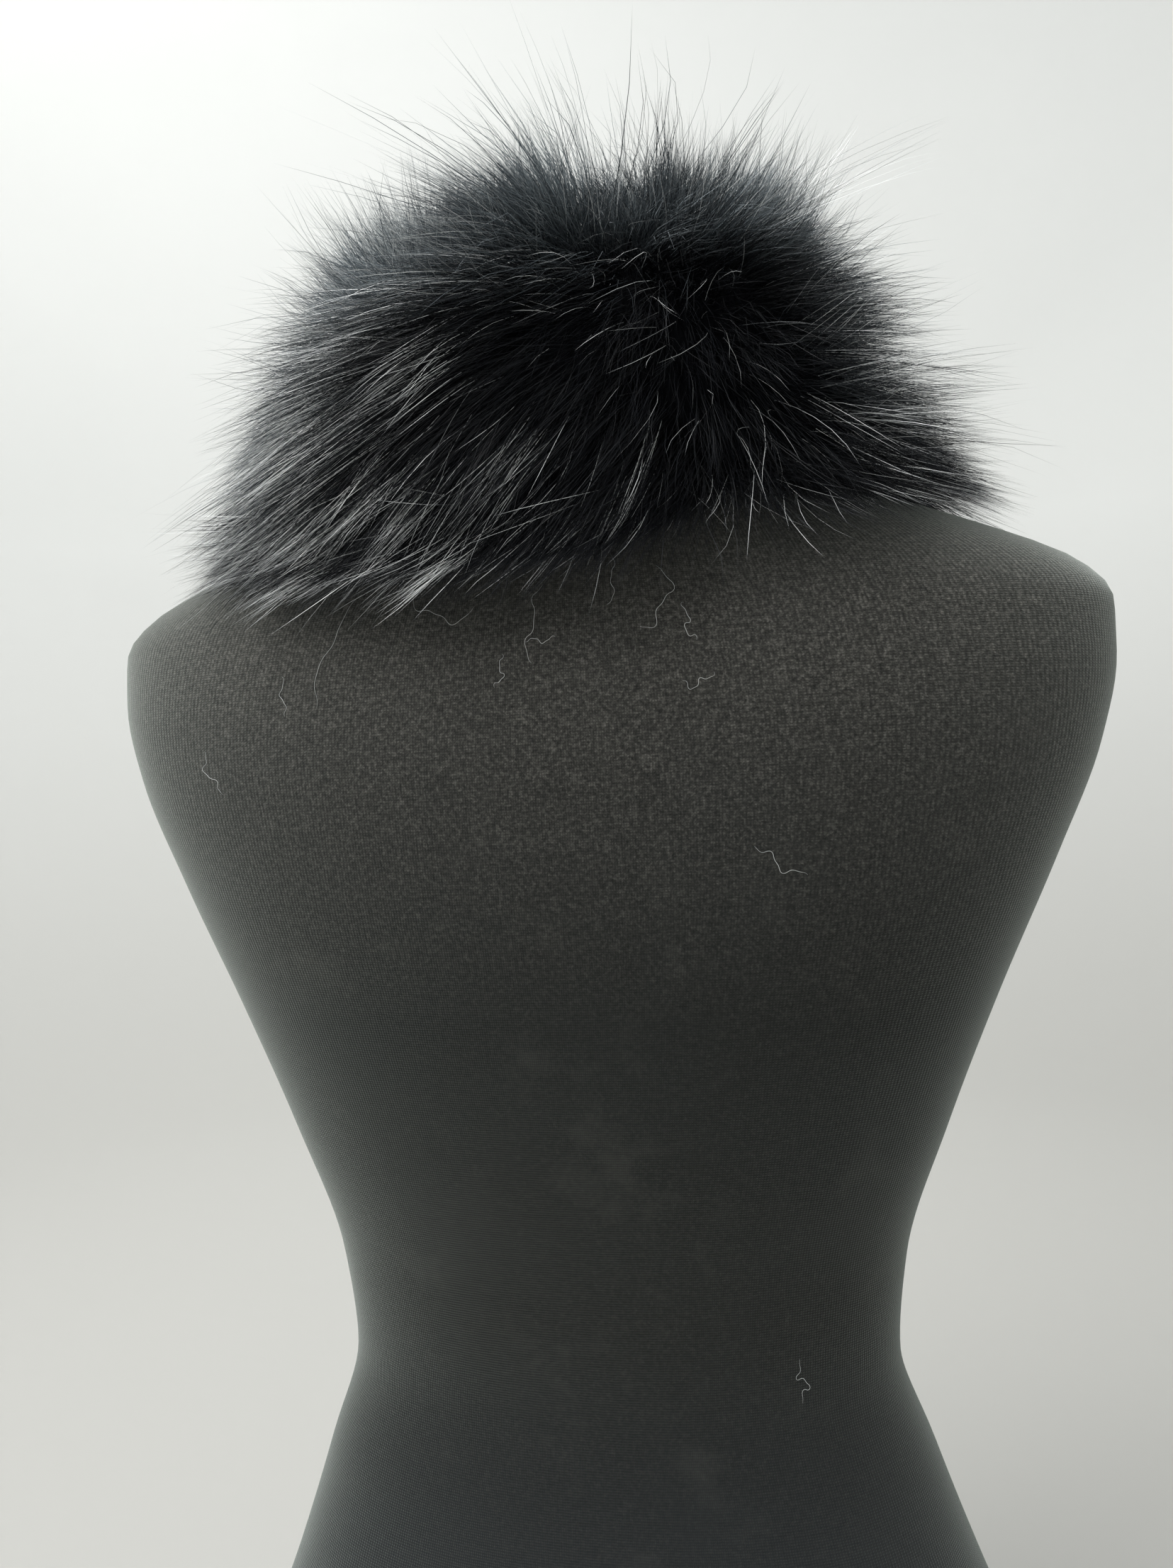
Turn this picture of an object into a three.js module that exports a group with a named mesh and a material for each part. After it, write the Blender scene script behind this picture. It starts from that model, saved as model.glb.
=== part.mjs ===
// Long-haired fur collar wrap, worn round the neck of a limbless dress form.
// Millimetres, +Z up. The front of the form faces -Y and its own left side is +X.
// The origin is the middle of the form's flat underside.
import * as THREE from 'three';

// Dress form: sections are rounded ovals about the neck's axis, from the hips up to the neck
const FORM_SECTIONS = [
  { height: 0, halfWidth: 176, back: 108, front: 92 },
  { height: 60, halfWidth: 176, back: 110, front: 96 },
  { height: 120, halfWidth: 159, back: 95, front: 94 },
  { height: 175, halfWidth: 137, back: 76, front: 88 },
  { height: 220, halfWidth: 121, back: 66, front: 82 },
  { height: 262, halfWidth: 108, back: 60, front: 78 },
  { height: 300, halfWidth: 112, back: 62, front: 82 },
  { height: 350, halfWidth: 129, back: 70, front: 94 },
  { height: 400, halfWidth: 149, back: 80, front: 110 },
  { height: 450, halfWidth: 171, back: 88, front: 120 },
  { height: 490, halfWidth: 187, back: 90, front: 112 },
  { height: 520, halfWidth: 193, back: 87, front: 98 },
  { height: 540, halfWidth: 193, back: 82, front: 84 },
  { height: 553, halfWidth: 182, back: 77, front: 74 },
  { height: 565, halfWidth: 157, back: 72, front: 66 },
  { height: 580, halfWidth: 119, back: 66, front: 58 },
  { height: 595, halfWidth: 86, back: 60, front: 52 },
  { height: 610, halfWidth: 66, back: 54, front: 48 },
  { height: 630, halfWidth: 57, back: 50, front: 46 },
  { height: 655, halfWidth: 54, back: 48, front: 45 },
];
const OVAL_POWER = 2.2;
const FORM_COLUMNS = 52;
const COLUMN_CROWDING = 1.5;
const BODY_ROWS = 16;
const SHOULDER_ROWS = 17;
const SHOULDER_START = 490;
const EDGE_ROUNDING = 5;

// Pelt strip: a skin that follows the form from its upper edge down, hair side out
const PELT_WIDTH = 62;
const PELT_STEPS = 4;
const PELT_CLEARANCE = 0.8;

// How the strip sits, by azimuth in degrees from the middle of the back towards the form's left.
// peltTop is the height of the strip's upper edge. The rise columns give the angle of the hair over the
// horizontal at the strip's two edges, and the hair columns its length there and halfway between them.
const COLLAR_FIT = [
  { azimuth: -180, peltTop: 600, lowRise: -62, topRise: 50, lowHair: 46, midHair: 50, topHair: 38 },
  { azimuth: -135, peltTop: 628, lowRise: -44, topRise: 55, lowHair: 46, midHair: 55, topHair: 40 },
  { azimuth: -90, peltTop: 650, lowRise: -14, topRise: 60, lowHair: 48, midHair: 58, topHair: 42 },
  { azimuth: -45, peltTop: 652, lowRise: -31, topRise: 66, lowHair: 46, midHair: 56, topHair: 44 },
  { azimuth: 0, peltTop: 648, lowRise: -43, topRise: 68, lowHair: 50, midHair: 54, topHair: 40 },
  { azimuth: 45, peltTop: 646, lowRise: -38, topRise: 66, lowHair: 52, midHair: 56, topHair: 42 },
  { azimuth: 90, peltTop: 644, lowRise: -26, topRise: 60, lowHair: 50, midHair: 58, topHair: 42 },
  { azimuth: 135, peltTop: 626, lowRise: -45, topRise: 55, lowHair: 46, midHair: 55, topHair: 40 },
  { azimuth: 180, peltTop: 600, lowRise: -62, topRise: 50, lowHair: 46, midHair: 50, topHair: 38 },
];

// The wrap is worn turned a little, so its joined middle and its meeting ends lie off the form's middle
const WRAP_TURN = -18;
const COLLAR_COLUMNS = 132;
const STRETCHES = [
  { name: 'collar_left_back', from: 0 },
  { name: 'collar_left_side', from: 22 },
  { name: 'collar_left_front', from: 44 },
  { name: 'collar_right_front', from: 66 },
  { name: 'collar_right_side', from: 88 },
  { name: 'collar_right_back', from: 110 },
];
const STRETCH_COLUMNS = 22;
const SEAM_GAP = 0.3;

// Hair locks: raised tufts in staggered rows, one every few columns and rows of the fur's outer face
const TIP_ROWS = 16;
const LOCK_COLUMNS = 4;
const LOCK_ROWS = 4;
const LOCK_RISE = 0.45;
const LOCK_SINK = 0.25;
const LOWEST_LOCK = 0.6;
const HIGHEST_LOCK = 1.4;
const PARTING_DEPTH = 0.35;
const PARTING_HALF_ANGLE = 4;
const TIP_CLEARANCE = 3;
const CREST_LEAN = 17;
const CREST_SHARES = [0.45, 0.85];
const UNDERSIDE_POINTS = 2;
const UNDERSIDE_CLEARANCE = 0.9;
const CLEARING_PASSES = 5;

const formCover = new THREE.MeshStandardMaterial({ color: 0x33373a, roughness: 0.95, metalness: 0 });
const fur = new THREE.MeshStandardMaterial({ color: 0x20242a, roughness: 0.8, metalness: 0 });

// A smooth reading of one column of a table between its rows, with no overshoot: a cubic whose slope at a
// row is the harmonic mean of the slopes on its two sides, or none where those turn.
function reading(table, key, column, at) {
  const last = table.length - 1;
  const slope = (i) => (table[i + 1][column] - table[i][column]) / (table[i + 1][key] - table[i][key]);
  const slopeAt = (i) => {
    if (i === 0 || i === last) return 0;
    const [before, after] = [slope(i - 1), slope(i)];
    return before * after > 0 ? (2 * before * after) / (before + after) : 0;
  };
  let i = 0;
  while (i < last - 1 && at > table[i + 1][key]) i += 1;
  const span = table[i + 1][key] - table[i][key];
  const t = THREE.MathUtils.clamp((at - table[i][key]) / span, 0, 1);
  const rise = table[i + 1][column] - table[i][column];
  const bend = span * (t - 2 * t ** 2 + t ** 3) * slopeAt(i) + span * (t ** 3 - t ** 2) * slopeAt(i + 1);
  return table[i][column] + rise * (3 * t ** 2 - 2 * t ** 3) + bend;
}

// The form's radius in one direction and at one height: a rounded oval, deeper or flatter on the front
function formRadius(azimuth, height) {
  const width = reading(FORM_SECTIONS, 'height', 'halfWidth', height);
  const depth = reading(FORM_SECTIONS, 'height', Math.cos(azimuth) > 0 ? 'back' : 'front', height);
  const across = Math.abs(Math.sin(azimuth) / width) ** OVAL_POWER;
  const along = Math.abs(Math.cos(azimuth) / depth) ** OVAL_POWER;
  return (across + along) ** (-1 / OVAL_POWER);
}

// The outward direction of the form's profile there, as a step out and a step up
function formOutward(azimuth, height) {
  const probe = 1;
  const lean = (formRadius(azimuth, height - probe) - formRadius(azimuth, height + probe)) / (2 * probe);
  return new THREE.Vector2(1, lean).normalize();
}

// Moves a point of a vertical profile outward until it is at least a gap clear of the form
function clearOfForm(azimuth, point, gap) {
  const cleared = point.clone();
  for (let pass = 0; pass < CLEARING_PASSES; pass += 1) {
    const outward = formOutward(azimuth, cleared.y);
    const clearance = (cleared.x - formRadius(azimuth, cleared.y)) * outward.x;
    cleared.addScaledVector(outward, Math.max(0, gap - clearance));
  }
  return cleared;
}

function onAxis(azimuth, profilePoint) {
  const [out, up] = [profilePoint.x, profilePoint.y];
  return new THREE.Vector3(out * Math.sin(azimuth), out * Math.cos(azimuth), up);
}

// Triangles that fill a clockwise outline. The library gives them counter-clockwise, so they are turned.
function fillClockwise(outline) {
  return THREE.ShapeUtils.triangulateShape(outline, []).map(([a, b, c]) => [a, c, b]);
}

// A closed solid through rings of equal length, with each end ring filled by the triangles given for it
function solidThroughRings(rings, firstFill, lastFill) {
  const count = rings[0].length;
  const lastStart = (rings.length - 1) * count;
  const index = [];
  for (let ring = 0; ring < rings.length - 1; ring += 1) {
    for (let i = 0; i < count; i += 1) {
      const [a, b] = [ring * count + i, ring * count + ((i + 1) % count)];
      index.push(a, a + count, b, b, a + count, b + count);
    }
  }
  for (const [a, b, c] of firstFill) index.push(a, b, c);
  for (const [a, b, c] of lastFill) index.push(lastStart + a, lastStart + c, lastStart + b);
  const geometry = new THREE.BufferGeometry().setFromPoints(rings.flat());
  geometry.setIndex(index);
  geometry.computeVertexNormals();
  return geometry;
}

function makeForm() {
  const top = FORM_SECTIONS.at(-1).height;
  const rows = [{ height: 0, inset: EDGE_ROUNDING }];
  for (let i = 0; i <= BODY_ROWS; i += 1) {
    rows.push({ height: THREE.MathUtils.lerp(EDGE_ROUNDING, SHOULDER_START, i / BODY_ROWS), inset: 0 });
  }
  for (let i = 1; i <= SHOULDER_ROWS; i += 1) {
    const height = THREE.MathUtils.lerp(SHOULDER_START, top - EDGE_ROUNDING, i / SHOULDER_ROWS);
    rows.push({ height, inset: 0 });
  }
  rows.push({ height: top, inset: EDGE_ROUNDING });
  const azimuths = Array.from({ length: FORM_COLUMNS }, (_, i) => {
    const turn = (2 * Math.PI * i) / FORM_COLUMNS;
    return Math.atan2(COLUMN_CROWDING * Math.sin(turn), Math.cos(turn));
  });
  const rings = rows.map(({ height, inset }) => azimuths.map((azimuth) => (
    onAxis(azimuth, new THREE.Vector2(formRadius(azimuth, height) - inset, height)))));
  const fills = [rings[0], rings.at(-1)].map((ring) => (
    fillClockwise(ring.map((point) => new THREE.Vector2(point.x, point.y)))));
  const mesh = new THREE.Mesh(solidThroughRings(rings, ...fills), formCover);
  mesh.name = 'dress_form';
  return mesh;
}

// The skin side in one direction, from the strip's lower edge to its upper edge, evenly along the form
function peltLine(azimuth, peltTop) {
  const step = 0.5;
  const points = [];
  let height = peltTop;
  let walked = 0;
  for (let i = 0; i <= PELT_STEPS; i += 1) {
    while (walked < (PELT_WIDTH * i) / PELT_STEPS) {
      const spread = formRadius(azimuth, height - step) - formRadius(azimuth, height);
      walked += Math.hypot(step, spread);
      height -= step;
    }
    const skin = new THREE.Vector2(formRadius(azimuth, height), height);
    points.unshift(skin.addScaledVector(formOutward(azimuth, height), PELT_CLEARANCE));
  }
  return points;
}

// A number from 0 to 1 for each lock, the same on every run
function scatter(row, column) {
  const value = Math.sin(row * 12.9898 + column * 78.233) * 43758.5453;
  return value - Math.floor(value);
}

// How far the locks lengthen or shorten the fur at a column and row: a peak in the middle of each lock
function lockReach(column, row) {
  const lockRow = Math.round(row / LOCK_ROWS);
  const shifted = column + (lockRow % 2) * (LOCK_COLUMNS / 2);
  const lockColumn = Math.floor(shifted / LOCK_COLUMNS);
  const across = 1 - Math.abs((shifted % LOCK_COLUMNS) / LOCK_COLUMNS - 0.5) * 2;
  const along = 1 - Math.abs(row / LOCK_ROWS - lockRow) * 2;
  const chance = scatter(lockRow, lockColumn % (COLLAR_COLUMNS / LOCK_COLUMNS));
  const lockHeight = THREE.MathUtils.lerp(LOWEST_LOCK, HIGHEST_LOCK, chance);
  return 1 + LOCK_RISE * (across * along - LOCK_SINK) * lockHeight;
}

// The step from a hair's root to its tip, for its rise over the horizontal in degrees and its length
function hairStep(rise, length) {
  const angle = THREE.MathUtils.degToRad(rise);
  return new THREE.Vector2(Math.cos(angle), Math.sin(angle)).multiplyScalar(length);
}

// One upright section through the fur: up the skin side, along the hair that leans in over its upper edge,
// down over the hair tips, and back underneath
function furSection(column) {
  const turned = WRAP_TURN + (360 * column) / COLLAR_COLUMNS;
  const degrees = THREE.MathUtils.euclideanModulo(turned + 180, 360) - 180;
  const azimuth = THREE.MathUtils.degToRad(degrees);
  const fit = (name) => reading(COLLAR_FIT, 'azimuth', name, degrees);
  const pelt = peltLine(azimuth, fit('peltTop'));
  const fromJoin = Math.min(column, COLLAR_COLUMNS - column) * (360 / COLLAR_COLUMNS);
  const parting = PARTING_DEPTH * Math.exp(-((fromJoin / PARTING_HALF_ANGLE) ** 2));
  const tips = [];
  for (let row = 0; row <= TIP_ROWS; row += 1) {
    const share = row / TIP_ROWS;
    const alongPelt = share * PELT_STEPS;
    const below = Math.min(Math.floor(alongPelt), PELT_STEPS - 1);
    const root = pelt[below].clone().lerp(pelt[below + 1], alongPelt - below);
    const rise = THREE.MathUtils.lerp(fit('lowRise'), fit('topRise'), share);
    const ends = THREE.MathUtils.lerp(fit('lowHair'), fit('topHair'), share);
    const middle = fit('midHair') - (fit('lowHair') + fit('topHair')) / 2;
    const plainLength = (ends + 4 * middle * share * (1 - share)) * (1 - parting * share ** 2);
    const length = plainLength * lockReach(column, row);
    tips.unshift(clearOfForm(azimuth, root.add(hairStep(rise, length)), TIP_CLEARANCE));
  }
  const crest = CREST_SHARES.map((share) => (
    pelt.at(-1).clone().add(hairStep(fit('topRise') + CREST_LEAN, share * fit('topHair')))));
  const underside = [];
  for (let i = 1; i <= UNDERSIDE_POINTS; i += 1) {
    const point = tips.at(-1).clone().lerp(pelt[0], i / (UNDERSIDE_POINTS + 1));
    underside.push(clearOfForm(azimuth, point, UNDERSIDE_CLEARANCE));
  }
  return { azimuth, profile: [...pelt, ...crest, ...tips, ...underside] };
}

// A stretch of the strip between two seams: its end sections move in by half the seam's gap
function makeStretch({ name, from }) {
  const sections = [];
  for (let i = 0; i <= STRETCH_COLUMNS; i += 1) {
    const { azimuth, profile } = furSection(from + i);
    const sideways = new THREE.Vector3(Math.cos(azimuth), -Math.sin(azimuth), 0);
    const inward = (i === 0 ? SEAM_GAP / 2 : 0) - (i === STRETCH_COLUMNS ? SEAM_GAP / 2 : 0);
    sections.push({
      profile,
      ring: profile.map((point) => onAxis(azimuth, point).addScaledVector(sideways, inward)),
    });
  }
  const rings = sections.map((section) => section.ring);
  const fills = [sections[0], sections.at(-1)].map((section) => fillClockwise(section.profile));
  const mesh = new THREE.Mesh(solidThroughRings(rings, ...fills), fur);
  mesh.name = name;
  return mesh;
}

const part = new THREE.Group();
part.add(makeForm(), ...STRETCHES.map(makeStretch));

export default part;
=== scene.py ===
"""The looks of a long-haired fur collar wrap on a limbless dress form.

Lengths are metres, +Z is up, the front faces -Y and the form's own left side is +X. A place on the object is
given by its azimuth, in degrees from the middle of the back towards +X, and by its height or, on the fur, by
its share of the strip's width: 0 at the strip's lower edge and 1 at its upper edge.

The form's section at any height is a rounded oval: (|x| / width)^p + (|y| / depth)^p = 1.
A hair is a curve from its root on the skin to a point on the fur's outer face, bent by one control point:
(1 - t)^2 root + 2 t (1 - t) control + t^2 tip. The control point is the hair's elbow: the hair stands up to
it, and lies from there along the face, away from the fur's crown. Hairs stand in wisps and wisps in locks.
Towards the tip each hair is drawn to the middle of its wisp, and the wisp to the middle of its lock.
"""

import math

import bpy
import numpy as np
from mathutils import Euler, Matrix


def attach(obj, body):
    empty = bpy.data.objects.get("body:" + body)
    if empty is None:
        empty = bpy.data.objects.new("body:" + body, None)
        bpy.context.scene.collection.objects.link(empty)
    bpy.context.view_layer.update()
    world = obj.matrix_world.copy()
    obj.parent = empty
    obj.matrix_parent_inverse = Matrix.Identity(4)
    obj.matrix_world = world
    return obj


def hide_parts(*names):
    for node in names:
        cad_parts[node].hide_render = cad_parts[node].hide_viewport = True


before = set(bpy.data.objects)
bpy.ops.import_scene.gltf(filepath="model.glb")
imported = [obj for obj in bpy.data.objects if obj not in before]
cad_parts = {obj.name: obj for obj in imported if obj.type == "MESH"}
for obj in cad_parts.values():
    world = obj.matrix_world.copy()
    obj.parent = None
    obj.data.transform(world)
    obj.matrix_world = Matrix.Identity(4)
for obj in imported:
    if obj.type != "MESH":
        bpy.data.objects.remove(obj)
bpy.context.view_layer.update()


def table(columns, rows):
    """Rows of numbers, as one array for each named column."""
    return dict(zip(columns.split(), np.array(rows, float).T))


# Dress form
FORM = table(
    "height width back front",
    [
        (0.000, 0.176, 0.108, 0.092),
        (0.060, 0.176, 0.110, 0.096),
        (0.120, 0.159, 0.095, 0.094),
        (0.175, 0.137, 0.076, 0.088),
        (0.220, 0.121, 0.066, 0.082),
        (0.262, 0.108, 0.060, 0.078),
        (0.300, 0.112, 0.062, 0.082),
        (0.350, 0.129, 0.070, 0.094),
        (0.400, 0.149, 0.080, 0.110),
        (0.450, 0.171, 0.088, 0.120),
        (0.490, 0.187, 0.090, 0.112),
        (0.520, 0.193, 0.087, 0.098),
        (0.540, 0.193, 0.082, 0.084),
        (0.553, 0.182, 0.077, 0.074),
        (0.565, 0.157, 0.072, 0.066),
        (0.580, 0.119, 0.066, 0.058),
        (0.595, 0.086, 0.060, 0.052),
        (0.610, 0.066, 0.054, 0.048),
        (0.630, 0.057, 0.050, 0.046),
        (0.655, 0.054, 0.048, 0.045),
    ],
)
OVAL_POWER = 2.2
FORM_TOP = FORM["height"][-1]
EDGE_ROUNDING = 0.005
EDGE_POINTS = 5
HEIGHT_STEP = 0.001
SHOULDER_SOFTNESS = 0.003
COVER_COLUMNS = 160
COVER_ROWS = 130
COVER_CAP_RINGS = 8
COLUMN_CROWDING = 1.5

# How the strip of pelt sits and how its hair stands: rise is the hair's angle over the horizontal
COLLAR = table(
    "azimuth pelt_top low_rise top_rise low_hair mid_hair top_hair",
    [
        (-180, 0.600, -62, 50, 0.046, 0.050, 0.038),
        (-135, 0.628, -44, 55, 0.046, 0.055, 0.040),
        (-90, 0.650, -14, 60, 0.048, 0.058, 0.042),
        (-45, 0.652, -31, 66, 0.046, 0.056, 0.044),
        (0, 0.648, -43, 68, 0.050, 0.054, 0.040),
        (45, 0.646, -38, 66, 0.052, 0.056, 0.042),
        (90, 0.644, -26, 60, 0.050, 0.058, 0.042),
        (135, 0.626, -45, 55, 0.046, 0.055, 0.040),
        (180, 0.600, -62, 50, 0.046, 0.050, 0.038),
    ],
)
PELT_WIDTH = 0.062
PELT_OFF_FORM = 0.0008
PELT_THICKNESS = 0.002
TIPS_OFF_FORM = 0.003
LOWEST_SKIN = 0.45
JOIN_AZIMUTH = -18
PARTING_DEPTH = 0.10
PARTING_HALF_ANGLE = 3
SHARE_STEPS = 32
STRETCH_ANGLE = 60
SEAM_GAP = 0.0003
STRETCHES = {
    "left_back": 0,
    "left_side": 1,
    "left_front": 2,
    "right_front": 3,
    "right_side": 4,
    "right_back": 5,
}

# The fur parts round a crown, a place behind from where its hair lies away to all sides: up above it, down
# below it, and round to the left more than to the right. Turns are degrees away from the join, and lie is in
# shares of the strip's width. Each way grows from 0 at the crown to half where it sets in. Hair stands up to
# its elbow and lies from there, less so on the two sides, where it stands out.
CROWN_TURN = -32
CROWN_TURN_AT_TOP = -28
CROWN_SHARE = 0.88
CROWN_FROM = 0.62
CROWN_TO = 0.84
COMB_LEFT = 40
COMB_RIGHT = 28
COMB_SETS_IN = 16
COMB_SETS_IN_BELOW = 58
COMB_BELOW_FROM = 0.30
COMB_BELOW_TO = 0.75
COMB_LOST_AT_TOP = 0.80
COMB_ENDS = 165
LIE_DOWN = 0.38
LIE_UP = 0.02
HIGHEST_TIP = 0.88
LIE_SETS_IN = 0.08
LIE_EASES = 0.07
LIE_LOST_AT_SIDES = 0.60
SIDE_FROM = 14
SIDE_TO = 78
SIDE_FADES = 90
SIDE_ENDS = 125
ELBOW = 0.74
ELBOW_AT_SIDES = 0.58
ELBOW_GOES = 0.20
SIDE_REACH = 0.20
INWARD_FROM = 0.86
INWARD_REACH = 0.006
HAIR_OFF_FORM = 0.0012

# No hair goes on past these places behind and above the object
ROOM_BEHIND = 0.1445
ROOM_ABOVE = 0.7365

# Over the right shoulder the lowest hair reaches further down
LONG_HEM_TURN = -52
LONG_HEM_SPREAD = 26
LONG_HEM_REACH = 0.26
HEM_REACH = 0.02
HEM_FROM = 0.40

# Kinds of hair. A hair's reach is its length as a share of the way to the fur's outer face: usual, from and
# to, and for long_share of the wisps up to longest. Most is where the reach ends along the top, in like
# shares. A hair comes out of the undercoat at start along its length. Hold is how far a wisp draws its hairs
# together and spread how wide their roots stand. Comb_stray and lie_stray are how far wisps stray from the
# way that the fur is combed, in degrees and in shares.
HAIR_KINDS = {
    "underfur": dict(
        wisps=1350, hairs=8, steps=3, start=0.42, width=0.00034,
        reach=(0.84, 1.06), long_share=0.08, longest=1.16, most=(1.8, 2.5),
        hold=0.60, spread=0.0030, wave=0.0016, waves=1.6, comb_stray=6, lie_stray=0.035,
    ),
    "guard_hair": dict(
        wisps=1100, hairs=7, steps=4, start=0.45, width=0.00022,
        reach=(0.98, 1.20), long_share=0.24, longest=1.50, most=(2.1, 2.95),
        hold=0.84, spread=0.0032, wave=0.0010, waves=1.1, comb_stray=10, lie_stray=0.05,
    ),
    "silver_hair": dict(
        wisps=400, hairs=9, steps=5, start=0.50, width=0.00024,
        reach=(1.00, 1.22), long_share=0.24, longest=1.48, most=(1.9, 2.8),
        hold=0.93, spread=0.0032, wave=0.0006, waves=0.9, comb_stray=8, lie_stray=0.04,
    ),
    "loose_hair": dict(
        wisps=200, hairs=2, steps=6, start=0.45, width=0.00022,
        reach=(0.94, 1.20), long_share=0.35, longest=1.45, most=(2.0, 2.95),
        hold=0.30, spread=0.0050, wave=0.0016, waves=0.7, comb_stray=17, lie_stray=0.10,
    ),
}
EVERY_REACH_POWER = 1.6
TOP_REACH = 2.0
TOP_REACH_AZIMUTH = -32
TOP_REACH_SPREAD = 36
TOP_REACH_LEFT_OF_JOIN = 0.38
TOP_REACH_FROM = 0.72
TOP_REACH_TO = 0.90
LONGER_AT_TOP = 0.10
LONGER_FROM = 0.65
LONGER_TO = 0.90
EDGE_CROWDING = 0.62
HAIR_SHADES = 64
SKIN_RADIUS_MEAN = 0.080

# Locks: how they stray and differ, and how far they draw their wisps together
LOCKS_PER_STRETCH = 150
LOCK_COMB_STRAY = 6
LOCK_LIE_STRAY = 0.05
LOCK_REACH = (0.88, 1.12)
LOCK_HOLD = (0.25, 0.80)
LOCK_SHADE_STRAY = 0.16
WISP_PULL = (0.3, 1.0)
WISP_SHADE_STRAY = 0.10
PULL_POWER = 2.2

# Hairs within a wisp
HAIR_COMB_STRAY = 2.5
HAIR_LIE_STRAY = 0.02
HAIR_LENGTH = (0.82, 1.06)
HAIR_HOLD = (0.2, 1.2)
MOST_HOLD = 0.97
HOLD_POWER = 1.5
WAVE_POWER = 1.3
OWN_WAVE_SIZE = 0.6
OWN_WAVES = 1.7
HAIR_WIDTH = (0.7, 1.25)
HAIR_TAPER = 0.72
TAPER_POWER = 1.5
FACING_OUTWARD = (1, 1, 0.35)
FACING_STRAY = 0.9

# Silver hair as a share of the fur, from 0 to 1, over turns from the join and shares of the width
SILVER_EVERYWHERE = 0.012
SILVER_LEFT = 0.68
SILVER_LEFT_FROM = 12
SILVER_LEFT_TO = 46
SILVER_RIGHT = 0.36
SILVER_RIGHT_FROM = 30
SILVER_RIGHT_TO = 60
SILVER_TOP = 0.35
SILVER_TOP_FROM = 0.84
SILVER_TOP_TO = 0.98
RICH_LOCKS = 0.45
SILVER_IN_OTHER_LOCKS = 0.05

# Painted light: pale blue-grey tips on the dark hair along the top and far round the sides, as if lit from
# behind
HAZE_MIDDLE_TURN = 2
HAZE_SIDES_FROM = 34
HAZE_SIDES_TO = 84
HAZE_AT_HEM = 0.05
HAZE_HEM_ENDS = 0.20
HAZE_FULL_FROM = 0.60
HAZE_TOP = 1.60
HAZE_TOP_FROM = 0.76
HAZE_TOP_TO = 0.92
MOST_HAZE = 1.5

# Shades, from 0 for the darkest hair of its kind to 1 for the palest
SHADE_STRAY = 0.08
SILVER_SHADE = 0.66
SILVER_SHADE_GAIN = 0.25
SILVER_SHADE_SPREAD = 0.9
HAZE_SHADE = 0.62
HAZE_SHADE_SPREAD = 1.1
DARK_SHADE_SPREAD = 0.08

# Pale tufts that stand out on the back: where their roots are, and where on the fur's face they end
TUFT_ROOT_STRAY = (2.0, 0.03)
TUFT_TIP_STRAY = (1.5, 0.02)
TUFT_LENGTH = (0.94, 1.08)
TUFT_SHADE = 0.6
TUFTS = table(
    "azimuth share to_azimuth to_share reach wisps",
    [
        (-12, 0.44, 8, 0.12, 1.02, 2),
        (-10, 0.46, 1, 0.18, 0.98, 1),
        (-32, 0.36, -14, 0.03, 1.02, 2),
        (-14, 0.78, 6, 0.62, 1.00, 1),
        (-8, 0.76, 13, 0.58, 1.00, 1),
        (-18, 0.70, -2, 0.50, 1.00, 1),
        (10, 0.36, 26, 0.04, 1.04, 2),
        (18, 0.38, 38, 0.03, 1.06, 2),
        (30, 0.40, 52, 0.06, 1.06, 2),
        (40, 0.34, 60, 0.04, 1.06, 2),
        (14, 0.78, 34, 0.64, 1.00, 1),
        (22, 0.82, 44, 0.68, 1.02, 2),
        (34, 0.80, 56, 0.64, 1.02, 2),
        (22, 0.72, 44, 0.56, 1.04, 1),
        (34, 0.70, 58, 0.52, 1.04, 2),
        (30, 0.62, 54, 0.40, 1.04, 2),
        (40, 0.60, 62, 0.34, 1.04, 2),
        (-52, 0.40, -62, 0.10, 1.04, 2),
        (-56, 0.30, -70, 0.04, 1.06, 2),
        (-48, 0.84, -62, 0.78, 1.10, 2),
    ],
)


def reading(rows, key, column, at):
    """A smooth reading of a column between its rows, with no overshoot: a cubic whose slope at a row is the
    harmonic mean of the slopes on its two sides, or none where those turn."""
    x, y = rows[key], rows[column]
    steps = np.diff(y) / np.diff(x)
    before, after = steps[:-1], steps[1:]
    agree = before * after > 0
    slope = np.zeros_like(y)
    slope[1:-1] = np.where(agree, 2 * before * after / np.where(agree, before + after, 1), 0)
    i = np.clip(np.searchsorted(x, at, side="right") - 1, 0, len(x) - 2)
    span = x[i + 1] - x[i]
    t = np.clip((at - x[i]) / span, 0, 1)
    bend = span * ((t - 2 * t**2 + t**3) * slope[i] + (t**3 - t**2) * slope[i + 1])
    return y[i] + (y[i + 1] - y[i]) * (3 * t**2 - 2 * t**3) + bend


def softened(profile, radius_in_rows):
    """A profile along its last axis, smoothed by a bell curve."""
    reach = int(4 * radius_in_rows)
    bell = np.exp(-0.5 * (np.arange(-reach, reach + 1) / radius_in_rows) ** 2)
    padded = np.pad(profile, [(0, 0), (reach, reach)], mode="edge")
    return np.stack([np.convolve(row, bell / bell.sum(), mode="valid") for row in padded])


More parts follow.
